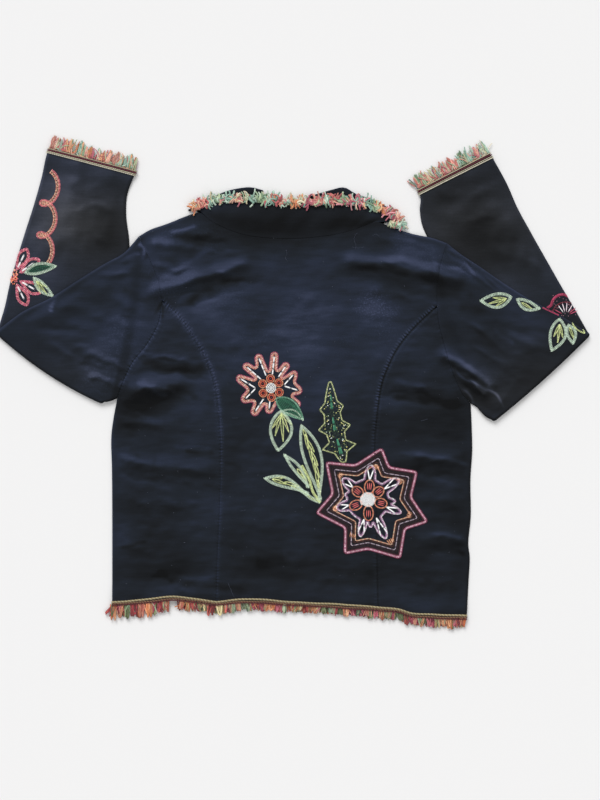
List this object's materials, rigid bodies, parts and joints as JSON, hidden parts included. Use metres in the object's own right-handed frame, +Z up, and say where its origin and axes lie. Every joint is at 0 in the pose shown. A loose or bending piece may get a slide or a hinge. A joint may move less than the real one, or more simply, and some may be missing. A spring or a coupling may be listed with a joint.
{
  "type": "embroidered velvet blazer",
  "caption": "Cropped velvet jacket laid flat with its back up, sleeves folded under, collar flipped up, with yarn fringe and corded braid at hem and cuffs.",
  "frame": {"origin": "middle of the laid-out jacket's outline, on the surface it lies on", "axes": "+Z up out of the surface, +Y towards the collar, +X towards the wearer's right sleeve; the wearer's left is on -X"},
  "size_m": [0.8487, 0.7046, 0.0135],
  "materials": {
    "velvet": "dark navy cotton velvet, short pile with soft sheen and blotchy nap",
    "braid_yarn": "twisted two-colour yarn cord, khaki and rose, matt",
    "fringe_yarn": "loose cut yarn in orange, rose, green, olive and cream, matt"
  },
  "bodies": {
    "root": {"back_centre": "velvet", "back_side_left": "velvet", "back_side_right": "velvet", "front_left": "velvet", "front_right": "velvet", "sleeve_left": "velvet", "sleeve_right": "velvet", "collar": "velvet", "braid_hem_back": "braid_yarn", "braid_hem_front_left": "braid_yarn", "braid_hem_front_right": "braid_yarn", "braid_cuff_left": "braid_yarn", "braid_cuff_right": "braid_yarn", "fringe_hem_back": "fringe_yarn", "fringe_hem_front_left": "fringe_yarn", "fringe_hem_front_right": "fringe_yarn", "fringe_cuff_left": "fringe_yarn", "fringe_cuff_right": "fringe_yarn", "fringe_collar": "fringe_yarn"}
  },
  "joints": []
}
